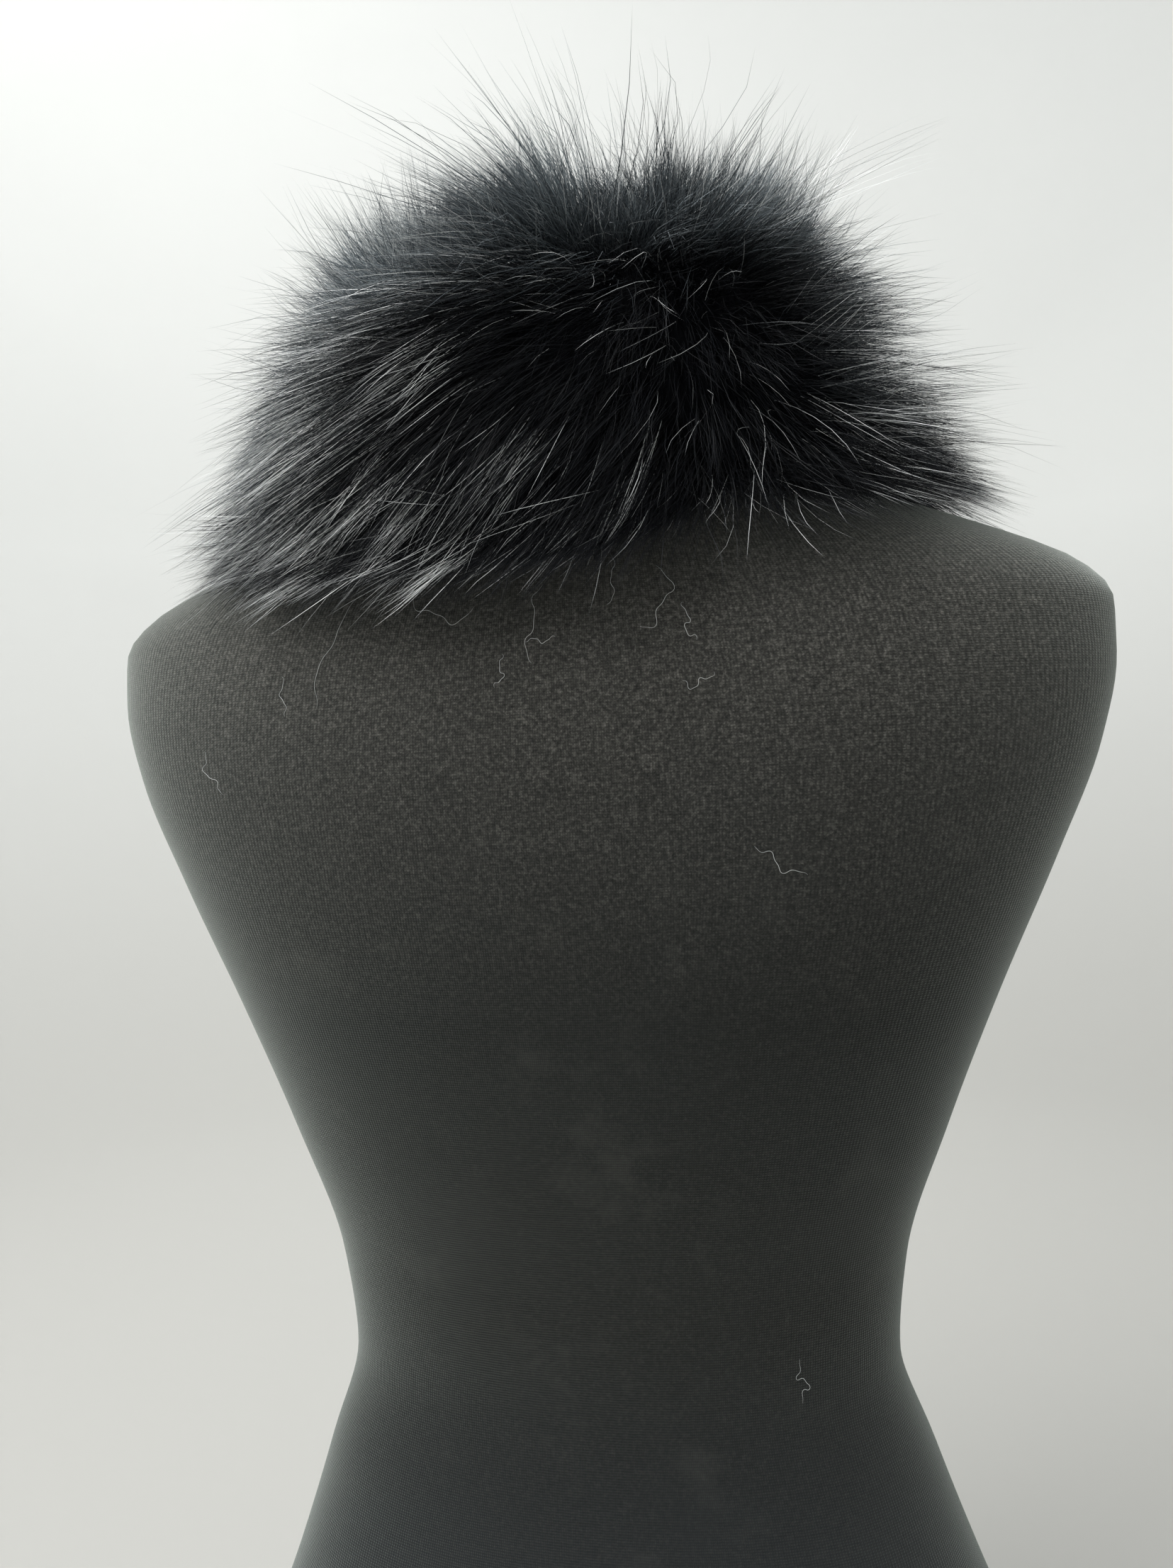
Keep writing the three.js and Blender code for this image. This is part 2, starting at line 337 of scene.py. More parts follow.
def form_grid():
    """The form's radius on a grid of whole degrees of azimuth and millimetres of height."""
    azimuth = np.radians(np.arange(361))[:, None]
    height = np.arange(0, FORM_TOP + HEIGHT_STEP / 2, HEIGHT_STEP)[None]
    width = reading(FORM, "height", "width", height)
    back, front = reading(FORM, "height", "back", height), reading(FORM, "height", "front", height)
    depth = np.where(np.cos(azimuth) > 0, back, front)
    across = np.abs(np.sin(azimuth) / width) ** OVAL_POWER
    along = np.abs(np.cos(azimuth) / depth) ** OVAL_POWER
    return softened((across + along) ** (-1 / OVAL_POWER), SHOULDER_SOFTNESS / HEIGHT_STEP)


FORM_RADIUS = form_grid()


def on_grid(grid, azimuth, row):
    """A grid of whole degrees read between its points."""
    degrees = np.mod(azimuth, 360)
    i = np.minimum(degrees.astype(int), 359)
    row = np.clip(row, 0, grid.shape[1] - 1)
    j = np.minimum(row.astype(int), grid.shape[1] - 2)
    s, t = degrees - i, row - j
    low = grid[i, j] * (1 - s) + grid[i + 1, j] * s
    high = grid[i, j + 1] * (1 - s) + grid[i + 1, j + 1] * s
    return low * (1 - t) + high * t


def form_radius(azimuth, height):
    """How far out from the form's axis its surface is."""
    return on_grid(FORM_RADIUS, azimuth, height / HEIGHT_STEP)


def form_outward(azimuth, height):
    """The outward direction of the form's profile there, as a step out and a step up."""
    below, above = form_radius(azimuth, height - HEIGHT_STEP), form_radius(azimuth, height + HEIGHT_STEP)
    lean = (below - above) / (2 * HEIGHT_STEP)
    size = np.hypot(1, lean)
    return 1 / size, lean / size


def clear_of_form(azimuth, radius, height, gap, passes=5):
    """Points of upright profiles, moved outward until they are a gap clear of the form."""
    for _ in range(passes):
        out, up = form_outward(azimuth, height)
        short = np.maximum(0, gap - (radius - form_radius(azimuth, height)) * out)
        radius, height = radius + out * short, height + up * short
    return radius, height


def in_space(azimuth, radius, height):
    """Points in space of azimuths, radii and heights."""
    turn = np.radians(azimuth)
    return np.stack([radius * np.sin(turn), radius * np.cos(turn), height + 0 * radius], -1)


def eased(value, low, high):
    """0 up to low, 1 from high, and a straight rise between them."""
    return np.clip((value - low) / (high - low), 0, 1)


def from_join(azimuth):
    """Degrees round from the join behind, positive towards the form's left."""
    return np.mod(azimuth - JOIN_AZIMUTH + 180, 360) - 180


def skin_grids():
    """Radius and height of the skin side on a grid of degrees and shares: the strip's width is walked down
    the form's profile from the upper edge, and its points stand a little off the form."""
    azimuth = np.arange(361.0)
    signed = np.mod(azimuth + 180, 360) - 180
    shares = np.linspace(0, 1, SHARE_STEPS + 1)
    heights = []
    for degrees, top in zip(azimuth, reading(COLLAR, "azimuth", "pelt_top", signed)):
        walk = np.arange(top, LOWEST_SKIN, -HEIGHT_STEP / 2)
        radii = form_radius(np.full_like(walk, degrees), walk)
        walked = np.concatenate([[0], np.cumsum(np.hypot(np.diff(walk), np.diff(radii)))])
        heights.append(np.interp(PELT_WIDTH * (1 - shares), walked, walk))
    height = np.array(heights)
    column = azimuth[:, None] + 0 * height
    out, up = form_outward(column, height)
    return form_radius(column, height) + out * PELT_OFF_FORM, height + up * PELT_OFF_FORM


def face_grids(skin_radius, skin_height):
    """Radius and height of the fur's outer face on the same grid: from each place on the skin, out by the
    hair's length at its rise. The length runs through its low, middle and top values as a parabola."""
    column = np.arange(361.0)[:, None] + 0 * skin_radius
    signed = np.mod(column + 180, 360) - 180
    share = np.linspace(0, 1, SHARE_STEPS + 1)[None] + 0 * skin_radius
    fit = {name: reading(COLLAR, "azimuth", name, signed) for name in COLLAR}
    rise = np.radians(fit["low_rise"] * (1 - share) + fit["top_rise"] * share)
    ends = fit["low_hair"] * (1 - share) + fit["top_hair"] * share
    middle = fit["mid_hair"] - (fit["low_hair"] + fit["top_hair"]) / 2
    parting = PARTING_DEPTH * np.exp(-((from_join(signed) / PARTING_HALF_ANGLE) ** 2)) * share**2
    length = (ends + 4 * middle * share * (1 - share)) * (1 - parting)
    radius, height = skin_radius + length * np.cos(rise), skin_height + length * np.sin(rise)
    return clear_of_form(column, radius, height, TIPS_OFF_FORM)


SKIN_RADIUS, SKIN_HEIGHT = skin_grids()
FACE_RADIUS, FACE_HEIGHT = face_grids(SKIN_RADIUS, SKIN_HEIGHT)


def on_skin(azimuth, share):
    """Radius and height of a place on the skin."""
    row = share * SHARE_STEPS
    return on_grid(SKIN_RADIUS, azimuth, row), on_grid(SKIN_HEIGHT, azimuth, row)


def on_face(azimuth, share):
    """Radius and height of a place on the fur's outer face."""
    row = share * SHARE_STEPS
    return on_grid(FACE_RADIUS, azimuth, row), on_grid(FACE_HEIGHT, azimuth, row)


def make_mesh(name, points, faces, material, uv_name=None, uv=None):
    """A mesh object of numbered points and of faces given as arrays of three or four columns."""
    mesh = bpy.data.meshes.new(name)
    blocks = [np.asarray(block, np.int32) for block in faces if len(block)]
    corners = np.concatenate([block.ravel() for block in blocks])
    sizes = np.concatenate([np.full(len(block), block.shape[1], np.int32) for block in blocks])
    mesh.vertices.add(len(points))
    mesh.vertices.foreach_set("co", np.asarray(points, np.float32).ravel())
    mesh.loops.add(len(corners))
    mesh.loops.foreach_set("vertex_index", corners)
    mesh.polygons.add(len(sizes))
    mesh.polygons.foreach_set("loop_start", (np.cumsum(sizes) - sizes).astype(np.int32))
    mesh.polygons.foreach_set("use_smooth", np.ones(len(sizes), bool))
    if uv is not None:
        layer = mesh.uv_layers.new(name=uv_name)
        layer.data.foreach_set("uv", np.asarray(uv, np.float32)[corners].ravel())
    mesh.update(calc_edges=True)
    mesh.validate()
    mesh.materials.append(material)
    obj = bpy.data.objects.new(name, mesh)
    bpy.context.scene.collection.objects.link(obj)
    return obj


def grid_faces(rows, columns, first=0, wrap=False):
    """Four-cornered faces over a grid of points that run along its columns first."""
    i, j = np.meshgrid(np.arange(rows - 1), np.arange(columns if wrap else columns - 1), indexing="ij")
    i, j = i.ravel(), j.ravel()
    right = (j + 1) % columns
    low, high = i * columns, (i + 1) * columns
    return first + np.stack([low + j, low + right, high + right, high + j], -1)


# Materials
def new_material(name, roughness, specular):
    """A material, its nodes and links, and its shader."""
    material = bpy.data.materials.new(name)
    material.use_nodes = True
    nodes = material.node_tree.nodes
    shader = nodes["Principled BSDF"]
    shader.inputs["Roughness"].default_value = roughness
    shader.inputs["Specular IOR Level"].default_value = specular
    return material, nodes, material.node_tree.links, shader


def add_ramp(nodes, stops):
    """A colour ramp of (place, colour) stops."""
    ramp = nodes.new("ShaderNodeValToRGB")
    elements = ramp.color_ramp.elements
    while len(elements) < len(stops):
        elements.new(0.5)
    for element, (place, colour) in zip(elements, stops):
        element.position = place
        element.color = (*colour, 1)
    return ramp


def add_noise(nodes, links, coordinates, scale, detail=3.0, roughness=0.55):
    """A noise texture, whose scale is about its patches in a unit of the coordinates."""
    noise = nodes.new("ShaderNodeTexNoise")
    noise.inputs["Scale"].default_value = scale
    noise.inputs["Detail"].default_value = detail
    noise.inputs["Roughness"].default_value = roughness
    links.new(coordinates, noise.inputs["Vector"])
    return noise


def add_range(nodes, links, value, low, high, to_low, to_high):
    """A value from low to high, mapped to run from to_low to to_high."""
    spread = nodes.new("ShaderNodeMapRange")
    for key, number in zip(("From Min", "From Max", "To Min", "To Max"), (low, high, to_low, to_high)):
        spread.inputs[key].default_value = number
    links.new(value, spread.inputs["Value"])
    return spread.outputs["Result"]


def add_mix(nodes, links, factor, first, second):
    """A colour that goes from first to second by the factor, each a link or a colour."""
    mix = nodes.new("ShaderNodeMix")
    mix.data_type = "RGBA"
    links.new(factor, mix.inputs["Factor"])
    for socket, value in ((mix.inputs[6], first), (mix.inputs[7], second)):
        if isinstance(value, tuple):
            socket.default_value = (*value, 1)
        else:
            links.new(value, socket)
    return mix.outputs[2]


def add_bump(nodes, links, height, shader, strength, distance):
    """Fine relief on the shader's surface from a height of 0 to 1."""
    bump = nodes.new("ShaderNodeBump")
    bump.inputs["Strength"].default_value = strength
    bump.inputs["Distance"].default_value = distance
    links.new(height, bump.inputs["Height"])
    links.new(bump.outputs["Normal"], shader.inputs["Normal"])


ROOT_ROUGHER = 0.12
TIP_SMOOTHER = 0.06


def hair_material(name, dark, pale, roughness, specular):
    """Hair shaded from root to tip. Its map runs across by shade and up from root to tip."""
    material, nodes, links, shader = new_material(name, roughness, specular)
    chart = nodes.new("ShaderNodeUVMap")
    chart.uv_map = "OFBake"
    split = nodes.new("ShaderNodeSeparateXYZ")
    links.new(chart.outputs["UV"], split.inputs["Vector"])
    ramps = [add_ramp(nodes, stops) for stops in (dark, pale)]
    for ramp in ramps:
        links.new(split.outputs["Y"], ramp.inputs["Fac"])
    colour = add_mix(nodes, links, split.outputs["X"], *(ramp.outputs["Color"] for ramp in ramps))
    links.new(colour, shader.inputs["Base Color"])
    at_root, at_tip = roughness + ROOT_ROUGHER, roughness - TIP_SMOOTHER
    rough = add_range(nodes, links, split.outputs["Y"], 0, 1, at_root, at_tip)
    links.new(rough, shader.inputs["Roughness"])
    return material


# The dark hairs' pale ramps are mostly painted light: tips that look lit through from behind
UNDERFUR = hair_material(
    "dark underfur",
    [(0.0, (0.002, 0.002, 0.002)), (0.6, (0.003, 0.003, 0.0035)), (1.0, (0.007, 0.0072, 0.0085))],
    [
        (0.0, (0.006, 0.006, 0.008)),
        (0.42, (0.030, 0.037, 0.043)),
        (0.62, (0.205, 0.243, 0.270)),
        (1.0, (0.460, 0.515, 0.550)),
    ],
    0.62,
    0.10,
)
GUARD_HAIR = hair_material(
    "black guard hair",
    [(0.0, (0.002, 0.002, 0.003)), (0.7, (0.004, 0.0045, 0.006)), (1.0, (0.010, 0.011, 0.015))],
    [
        (0.0, (0.010, 0.011, 0.013)),
        (0.5, (0.056, 0.069, 0.081)),
        (0.75, (0.132, 0.158, 0.178)),
        (1.0, (0.200, 0.232, 0.255)),
    ],
    0.48,
    0.15,
)
SILVER_HAIR = hair_material(
    "silver guard hair",
    [
        (0.0, (0.010, 0.011, 0.014)),
        (0.55, (0.070, 0.080, 0.092)),
        (0.85, (0.200, 0.218, 0.235)),
        (1.0, (0.090, 0.098, 0.110)),
    ],
    [
        (0.0, (0.030, 0.034, 0.040)),
        (0.56, (0.720, 0.755, 0.775)),
        (0.84, (0.980, 1.000, 1.000)),
        (1.0, (0.700, 0.730, 0.755)),
    ],
    0.34,
    1.0,
)


def undercoat_material():
    """The felted depth of the fur: near black, with streaks that follow the hair."""
    material, nodes, links, shader = new_material("felted undercoat", 0.9, 0.02)
    chart = nodes.new("ShaderNodeUVMap")
    chart.uv_map = "hair run"
    stretch = nodes.new("ShaderNodeMapping")
    stretch.inputs["Scale"].default_value = (900, 60, 1)
    links.new(chart.outputs["UV"], stretch.inputs["Vector"])
    streaks = add_noise(nodes, links, stretch.outputs["Vector"], 1.0)
    ramp = add_ramp(nodes, [(0.35, (0.0015, 0.0015, 0.002)), (0.7, (0.005, 0.0055, 0.007))])
    links.new(streaks.outputs["Fac"], ramp.inputs["Fac"])
    links.new(ramp.outputs["Color"], shader.inputs["Base Color"])
    links.new(add_range(nodes, links, streaks.outputs["Fac"], 0, 1, 0.8, 1.0), shader.inputs["Roughness"])
    add_bump(nodes, links, streaks.outputs["Fac"], shader, 0.8, 0.001)
    return material


def pelt_material():
    """Dressed skin: pale tan suede with a fine uneven nap."""
    material, nodes, links, shader = new_material("dressed skin side", 0.85, 0.3)
    place = nodes.new("ShaderNodeTexCoord").outputs["Object"]
    patches = add_noise(nodes, links, place, 60)
    nap = add_noise(nodes, links, place, 900)
    colour = add_mix(nodes, links, patches.outputs["Fac"], (0.36, 0.27, 0.19), (0.50, 0.41, 0.31))
    links.new(colour, shader.inputs["Base Color"])
    links.new(add_range(nodes, links, nap.outputs["Fac"], 0, 1, 0.75, 0.95), shader.inputs["Roughness"])
    add_bump(nodes, links, nap.outputs["Fac"], shader, 0.4, 0.0004)
    return material


# Brushed jersey: the wales run up the form, and the map's unit is a metre of cloth
WALE_WIDTH = 0.0011
COURSE_HEIGHT = 0.0009
WAVE_AT_SCALE_ONE = 0.314
COVER_RADIUS_MEAN = 0.12

# Between these two heights the nap turns paler, up to this share: dust on the shoulders and painted light
# from above
PALE_FROM = 0.40
PALE_TO = 0.53
PALE_SHARE = 0.55

# Down at the hips the cloth is painted paler and bluer: painted light on the cloth that faces up
BLUISH_FULL = 0.17
BLUISH_ENDS = 0.29
BLUISH_SHARE = 0.6


def jersey_material():
    """Brushed charcoal jersey: fine knit under a raised nap, with pale lint and a sheen along its edges. Its
    colour also holds painted light on the shoulders and hips, and painted shade in the knit's grooves.
    """
    material, nodes, links, shader = new_material("brushed charcoal jersey", 0.95, 0.15)
    shader.inputs["Sheen Weight"].default_value = 0.8
    shader.inputs["Sheen Roughness"].default_value = 0.45
    shader.inputs["Sheen Tint"].default_value = (0.70, 0.76, 0.72, 1)
    place = nodes.new("ShaderNodeTexCoord").outputs["Object"]
    chart = nodes.new("ShaderNodeUVMap")
    chart.uv_map = "cloth"
    heights = []
    for direction, size in (("X", WALE_WIDTH), ("Y", COURSE_HEIGHT)):
        wave = nodes.new("ShaderNodeTexWave")
        wave.bands_direction = direction
        wave.inputs["Scale"].default_value = WAVE_AT_SCALE_ONE / size
        wave.inputs["Distortion"].default_value = 1.2
        wave.inputs["Detail"].default_value = 1.0
        wave.inputs["Detail Scale"].default_value = 0.6
        links.new(chart.outputs["UV"], wave.inputs["Vector"])
        heights.append(wave.outputs["Fac"])
    knit = nodes.new("ShaderNodeMath")
    knit.operation = "MULTIPLY"
    for socket, height in zip(knit.inputs, heights):
        links.new(height, socket)
    nap = add_noise(nodes, links, place, 1500, 2.0, 0.7)
    mottle = add_noise(nodes, links, place, 760, 4.0, 0.75)
    drift = add_noise(nodes, links, place, 9, 3.0, 0.6)
    lint_places = add_noise(nodes, links, place, 34, 4.0, 0.7)
    dark_stops = [
        (0.28, (0.0040, 0.0040, 0.0037)),
        (0.50, (0.0145, 0.0145, 0.0133)),
        (0.74, (0.0480, 0.0480, 0.0440)),
    ]
    # Paler colours of the shoulders: dust and painted light
    pale_stops = [
        (0.32, (0.028, 0.0270, 0.0250)),
        (0.50, (0.098, 0.0945, 0.0865)),
        (0.68, (0.290, 0.279, 0.256)),
    ]
    dark, pale = add_ramp(nodes, dark_stops), add_ramp(nodes, pale_stops)
    for ramp in (dark, pale):
        links.new(mottle.outputs["Fac"], ramp.inputs["Fac"])
    lint = add_range(nodes, links, lint_places.outputs["Fac"], 0.56, 0.72, 0, 0.45)
    dusted = add_mix(nodes, links, lint, dark.outputs["Color"], (0.060, 0.060, 0.054))
    fading = add_range(nodes, links, drift.outputs["Fac"], 0.35, 0.7, 0, 0.30)
    faded = add_mix(nodes, links, fading, dusted, (0.026, 0.030, 0.030))
    split = nodes.new("ShaderNodeSeparateXYZ")
    links.new(place, split.inputs["Vector"])
    # Paler shoulders: dust, and painted light from above
    shoulders = add_range(nodes, links, split.outputs["Z"], PALE_FROM, PALE_TO, 0, PALE_SHARE)
    # Paler and bluer hips: painted light
    hips = add_range(nodes, links, split.outputs["Z"], BLUISH_FULL, BLUISH_ENDS, BLUISH_SHARE, 0)
    painted_hip_light = add_mix(nodes, links, hips, faded, (0.032, 0.038, 0.047))
    dust_and_painted_light = add_mix(nodes, links, shoulders, painted_hip_light, pale.outputs["Color"])
    # Painted shade: the colour darkens in the knit's grooves
    groove_shade = add_range(nodes, links, knit.outputs["Value"], 0, 0.6, 0.35, 0)
    knit_with_painted_shade = add_mix(nodes, links, groove_shade, dust_and_painted_light, (0.006, 0.006, 0.006))
    links.new(knit_with_painted_shade, shader.inputs["Base Color"])
    links.new(add_range(nodes, links, nap.outputs["Fac"], 0.2, 0.8, 0.85, 1.0), shader.inputs["Roughness"])
    raised = nodes.new("ShaderNodeMath")
    raised.operation = "ADD"
    links.new(knit.outputs["Value"], raised.inputs[0])
    links.new(nap.outputs["Fac"], raised.inputs[1])
    add_bump(nodes, links, raised.outputs["Value"], shader, 0.5, 0.0003)
    return material


def stage_material():
    """Matt pale backdrop paper, with painted shade that makes it greyer on the floor than up the wall."""
    material, nodes, links, shader = new_material("pale backdrop", 0.9, 0.2)
    place = nodes.new("ShaderNodeTexCoord").outputs["Object"]
    grain = add_noise(nodes, links, place, 3)
    wall = add_mix(nodes, links, grain.outputs["Fac"], (0.79, 0.80, 0.79), (0.82, 0.83, 0.82))
    split = nodes.new("ShaderNodeSeparateXYZ")
    links.new(place, split.inputs["Vector"])
    # Painted shade: darker towards the floor, fully at its foot and none from a metre up
    height = add_range(nodes, links, split.outputs["Z"], -0.1, 1.0, 0, 1)
    colour = add_mix(nodes, links, height, (0.46, 0.455, 0.435), wall)
    links.new(colour, shader.inputs["Base Color"])
    return material


UNDERCOAT = undercoat_material()
SKIN_SIDE = pelt_material()
JERSEY = jersey_material()
STAGE = stage_material()


# Form cover
def make_form_cover():
    """Rings of the form's section at rising heights, with its two edges rounded by a quarter circle and both
    ends closed by shrinking rings round a middle point."""
    turn = 2 * np.pi * np.arange(COVER_COLUMNS) / COVER_COLUMNS
    azimuth = np.degrees(np.arctan2(COLUMN_CROWDING * np.sin(turn), np.cos(turn)))
    bend = np.linspace(0, np.pi / 2, EDGE_POINTS)
    body = np.linspace(EDGE_ROUNDING, FORM_TOP - EDGE_ROUNDING, COVER_ROWS)
    rising = EDGE_ROUNDING * (1 - np.cos(bend[:-1]))
    falling = EDGE_ROUNDING * (1 - np.sin(bend[1:]))
    height = np.concatenate([rising, body, FORM_TOP - falling])
    opening = EDGE_ROUNDING * (1 - np.sin(bend[:-1]))
    closing = EDGE_ROUNDING * (1 - np.cos(bend[1:]))
    inset = np.concatenate([opening, 0 * body, closing])
    shrink = np.arange(COVER_CAP_RINGS - 1, 0, -1) / COVER_CAP_RINGS
    ring_height = np.concatenate([np.zeros(len(shrink)), height, np.full(len(shrink), FORM_TOP)])
    cap_inset = np.full(len(shrink), EDGE_ROUNDING)
    ring_inset = np.concatenate([cap_inset, inset, cap_inset])
    ring_share = np.concatenate([shrink[::-1], np.ones(len(height)), shrink])
    column, row = np.meshgrid(azimuth, ring_height)
    radius = (form_radius(column, row) - ring_inset[:, None]) * ring_share[:, None]
    points = in_space(column, radius, row)
    walked = np.concatenate([[0], np.cumsum(np.hypot(np.diff(ring_height), np.diff(radius.mean(1))))])
    rings, columns = row.shape
    chart = np.stack([np.radians(column) * COVER_RADIUS_MEAN, walked[:, None] + 0 * row], -1).reshape(-1, 2)
    flat = points.reshape(-1, 3)
    low, high = len(flat), len(flat) + 1
    flat = np.concatenate([flat, [[0, 0, 0], [0, 0, FORM_TOP]]])
    chart = np.concatenate([chart, [[0, 0], [0, walked[-1]]]])
    j = np.arange(columns)
    right = (j + 1) % columns
    last = (rings - 1) * columns
    sides = grid_faces(rings, columns, wrap=True)[:, ::-1]
    under = np.stack([j, right, np.full(columns, low)], -1)
    over = np.stack([last + right, last + j, np.full(columns, high)], -1)
    return make_mesh("form_cover", flat, [sides, under, over], JERSEY, "cloth", chart)


# Pelts and undercoat, whose body reaches a share of the way to the fur's outer face, less so at the top
BODY_SHARE = 0.74
BODY_SHARE_AT_TOP = 0.46
BODY_FALLS_FROM = 0.5
BODY_FALL_POWER = 1.5
BODY_ROWS = 31
BODY_OFF_PELT = 0.004
CREST_POINTS = 3
CREST_LEAN = 17
CREST_ARCH = 0.25
UNDERSIDE_POINTS = 3
BODY_LUMP = 0.05
LARGE_LUMPS = (90, 14)
SMALL_LUMPS = (210, 30)
SMALL_LUMP_SHARE = 0.6
BODY_RADIUS_MEAN = 0.1
PELT_ROWS = 11
COLUMNS_PER_STRETCH = 41


def stretch_columns(index):
    """The azimuths of a stretch's columns, and the sideways step that opens the seams at its ends."""
    start = JOIN_AZIMUTH + STRETCH_ANGLE * index
    azimuth = np.linspace(start, start + STRETCH_ANGLE, COLUMNS_PER_STRETCH)
    step = np.zeros(COLUMNS_PER_STRETCH)
    step[0], step[-1] = SEAM_GAP / 2, -SEAM_GAP / 2
    turn = np.radians(azimuth)
    sideways = np.stack([np.cos(turn), -np.sin(turn), 0 * turn], -1)
    return azimuth, step[:, None] * sideways


def make_pelt(name, index):
    """A thin skin along the form: its under face and its hair face a thickness apart, joined by a rim."""
    azimuth, seam = stretch_columns(index)
    column, share = np.meshgrid(azimuth, np.linspace(0, 1, PELT_ROWS), indexing="ij")
    radius, height = on_skin(column, share)
    out, up = form_outward(column, height)
    faces = []
    for lift in (0.0, PELT_THICKNESS):
        faces.append(in_space(column, radius + out * lift, height + up * lift) + seam[:, None])
    points = np.concatenate([face.reshape(-1, 3) for face in faces])
    columns, rows = column.shape
    half = columns * rows
    under = grid_faces(columns, rows)
    over = grid_faces(columns, rows, half)[:, ::-1]
    rim = np.concatenate(
        [
            np.arange(rows),
            np.arange(1, columns) * rows + rows - 1,
            (columns - 1) * rows + np.arange(rows - 2, -1, -1),
            np.arange(columns - 2, 0, -1) * rows,
        ]
    )
    following = np.roll(rim, -1)
    edge = np.stack([rim, rim + half, following + half, following], -1)
    pelt = make_mesh(f"pelt_{name}", points, [under, over, edge[:, ::-1]], SKIN_SIDE)
    middle = faces[1]
    cells = np.cross(middle[1:, 1:] - middle[:-1, :-1], middle[:-1, 1:] - middle[1:, :-1])
    area = 0.5 * np.linalg.norm(cells, axis=-1).sum()
    return pelt, area


def bumps(rng, azimuth, share, around, across):
    """Smooth random heights from -1 to 1 over azimuth and share: random values on a grid that counts so many
    around and so many across, blended between."""
    grid = rng.uniform(-1, 1, (around, across))
    x = np.mod(azimuth, 360) / 360 * around
    y = np.clip(share, 0, 1) * (across - 1.001)
    i, j = x.astype(int) % around, y.astype(int)
    s, t = x - np.floor(x), y - j
    s, t = s * s * (3 - 2 * s), t * t * (3 - 2 * t)
    k = (i + 1) % around
    low = grid[i, j] * (1 - s) + grid[k, j] * s
    high = grid[i, j + 1] * (1 - s) + grid[k, j + 1] * s
    return low * (1 - t) + high * t


def make_undercoat(name, index):
    """The felted depth of the fur: a profile carried round the stretch. It runs up the pelt's hair side,
    over a crest, down its lumpy face at a share of the hair's length, and back along the underside."""
    rng = np.random.default_rng(7)
    azimuth, seam = stretch_columns(index)
    column, share = np.meshgrid(azimuth, np.linspace(0, 1, BODY_ROWS), indexing="ij")
    radius, height = on_skin(column, share)
    out, up = form_outward(column, height)
    lift = PELT_THICKNESS + SEAM_GAP
    inner = np.stack([radius + out * lift, height + up * lift], -1)
    face = np.stack(on_face(column, share), -1)
    skin = np.stack([radius, height], -1)
    lumps = bumps(rng, column, share, *LARGE_LUMPS)
    lumps = lumps + SMALL_LUMP_SHARE * bumps(rng, column, share, *SMALL_LUMPS)
    falling = eased(share, BODY_FALLS_FROM, 1) ** BODY_FALL_POWER
    deep = BODY_SHARE + (BODY_SHARE_AT_TOP - BODY_SHARE) * falling
    outer = skin + (deep + BODY_LUMP * lumps)[..., None] * (face - skin)
    outer = np.stack(clear_of_form(column, outer[..., 0], outer[..., 1], lift + BODY_OFF_PELT), -1)
    signed = np.mod(azimuth + 180, 360) - 180
    lean = np.radians(reading(COLLAR, "azimuth", "top_rise", signed) + CREST_LEAN)
    tall = np.hypot(*(outer[:, -1] - inner[:, -1]).T)
    leaning = np.stack([np.cos(lean), np.sin(lean)], -1)
    crest = []
    for t in np.linspace(0, 1, CREST_POINTS + 2)[1:-1]:
        arch = (tall * math.sin(math.pi * t) * CREST_ARCH)[:, None] * leaning
        crest.append(inner[:, -1] * (1 - t) + outer[:, -1] * t + arch)
    under = []
    for t in np.linspace(0, 1, UNDERSIDE_POINTS + 2)[1:-1]:
        point = outer[:, 0] * (1 - t) + inner[:, 0] * t
        under.append(np.stack(clear_of_form(azimuth, point[:, 0], point[:, 1], lift - 0.001), -1))
    profile = np.concatenate([inner, np.stack(crest, 1), outer[:, ::-1], np.stack(under, 1)], axis=1)
    count = profile.shape[1]
    wide = azimuth[:, None] + 0 * profile[..., 0]
    points = in_space(wide, profile[..., 0], profile[..., 1]) + seam[:, None]
    strides = np.hypot(*np.moveaxis(np.diff(profile, axis=1), -1, 0))
    walked = np.concatenate([np.zeros((len(azimuth), 1)), np.cumsum(strides, 1)], 1)
    chart = np.stack([np.radians(wide) * BODY_RADIUS_MEAN, walked], -1).reshape(-1, 2)
    sides = grid_faces(len(azimuth), count, wrap=True)
    first_outer = BODY_ROWS + CREST_POINTS
    strip = []
    for j in range(BODY_ROWS - 1):
        a, b = first_outer + BODY_ROWS - 1 - j, first_outer + BODY_ROWS - 2 - j
        strip.append((j, j + 1, b, a))
    top_fan = [(BODY_ROWS - 1, BODY_ROWS - 1 + k, BODY_ROWS + k) for k in range(1, CREST_POINTS + 1)]
    low = first_outer + BODY_ROWS - 1
    low_fan = [(0, low + k, low + k + 1) for k in range(UNDERSIDE_POINTS)]
    strip, fans = np.array(strip), np.array(top_fan + low_fan)
    end = (len(azimuth) - 1) * count
    blocks = [sides, strip, fans, end + strip[:, ::-1], end + fans[:, ::-1]]
    return make_mesh(f"undercoat_{name}", points.reshape(-1, 3), blocks, UNDERCOAT, "hair run", chart)


# Hair
def growing(distance, sets_in):
    """A way that grows from 0 at the crown, to half at sets_in, and towards 1."""
    return distance / (distance + sets_in)


def at_sides(azimuth):
    """0 behind and in front, 1 on the two sides."""
    turn = np.abs(np.mod(azimuth + 180, 360) - 180)
    return eased(turn, SIDE_FROM, SIDE_TO) * (1 - eased(turn, SIDE_FADES, SIDE_ENDS))


